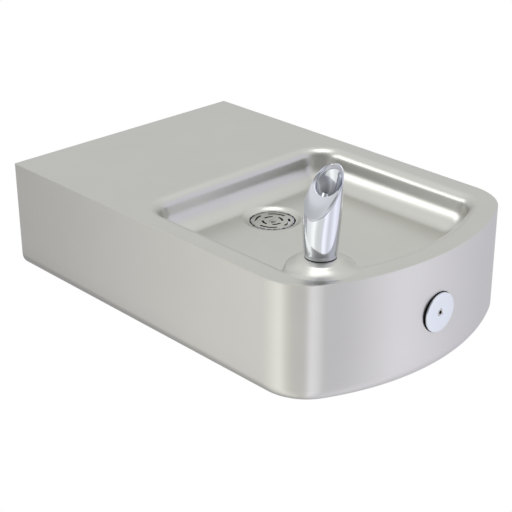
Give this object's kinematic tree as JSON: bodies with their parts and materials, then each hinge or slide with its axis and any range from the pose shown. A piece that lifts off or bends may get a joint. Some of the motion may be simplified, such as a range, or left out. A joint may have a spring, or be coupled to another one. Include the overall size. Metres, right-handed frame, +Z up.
{
  "type": "drinking fountain",
  "caption": "Wall-mounted stainless drinking fountain with a pressed bowl, a chrome bubbler with an open slanted mouth, a round front push button and a slotted drain.",
  "frame": {"origin": "middle of the four wall bolt slots, in the plane of the wall", "axes": "+Y into the wall, +Z up, +X to the right for a person who faces the wall"},
  "size_m": [0.305, 0.5046, 0.219],
  "materials": {
    "shell_steel": "satin brushed stainless",
    "deck_steel": "satin brushed stainless",
    "fitting_steel": "machined",
    "chrome": "polished chrome plate",
    "cap_steel": "polished",
    "brass": "plain",
    "zinc_steel": "zinc plated",
    "rubber": "matt",
    "black_plastic": "matt",
    "tube_plastic": "smooth"
  },
  "bodies": {
    "fountain": {"body_shell": "shell_steel", "basin_tray": "deck_steel", "bottom_cover": "shell_steel", "cover_screws": "fitting_steel", "cover_clips": "zinc_steel", "upper_wall_rail": "zinc_steel", "lower_wall_rail": "zinc_steel", "hanger_channel": "zinc_steel", "rail_screws": "fitting_steel", "bubbler": "chrome", "bubbler_nozzle": "chrome", "bubbler_gasket": "rubber", "bubbler_shank": "brass", "bubbler_washer": "fitting_steel", "bubbler_locknut": "brass", "bubbler_tube_nut": "brass", "bubbler_tube": "tube_plastic", "drain_strainer": "fitting_steel", "strainer_screw": "fitting_steel", "waste_body": "chrome", "waste_gasket": "rubber", "waste_locknut": "brass", "waste_slip_nut": "chrome", "waste_elbow": "chrome", "arm_slip_nut": "chrome", "waste_arm": "chrome", "button_guide": "black_plastic", "guide_nuts": "zinc_steel", "return_spring": "zinc_steel", "valve_locknut": "brass", "valve_body": "brass", "valve_cartridge": "black_plastic", "valve_cap": "brass", "inlet_nut": "brass", "outlet_nut": "brass", "supply_tube": "tube_plastic", "supply_stop": "chrome", "stop_bonnet": "chrome", "stop_outlet_nut": "brass", "stop_locknut": "brass", "stop_bracket": "zinc_steel", "bracket_screws": "fitting_steel"},
    "button": {"push_button": "cap_steel", "button_screw": "fitting_steel", "button_body": "black_plastic", "valve_stem": "fitting_steel"},
    "flow_screw": {"flow_screw": "fitting_steel"},
    "stop_stem": {"stop_stem": "brass"}
  },
  "joints": [
    {"name": "button_press", "type": "slide", "parent": "fountain", "child": "button", "axis": [0, 1, 0], "range_m": [0, 0.0045], "stiffness_N_per_m": 2500, "springref_m": -0.002, "deforming": ["return_spring"]},
    {"name": "flow_adjust", "type": "hinge", "parent": "fountain", "child": "flow_screw", "pos_m": [0, -0.41957, -0.02], "axis": [0, 0, 1], "range_deg": [0, 270]},
    {"name": "stop_turn", "type": "hinge", "parent": "fountain", "child": "stop_stem", "pos_m": [0.07, -0.0324, -0.02], "axis": [0, 0, 1], "range_deg": [0, 90]}
  ]
}
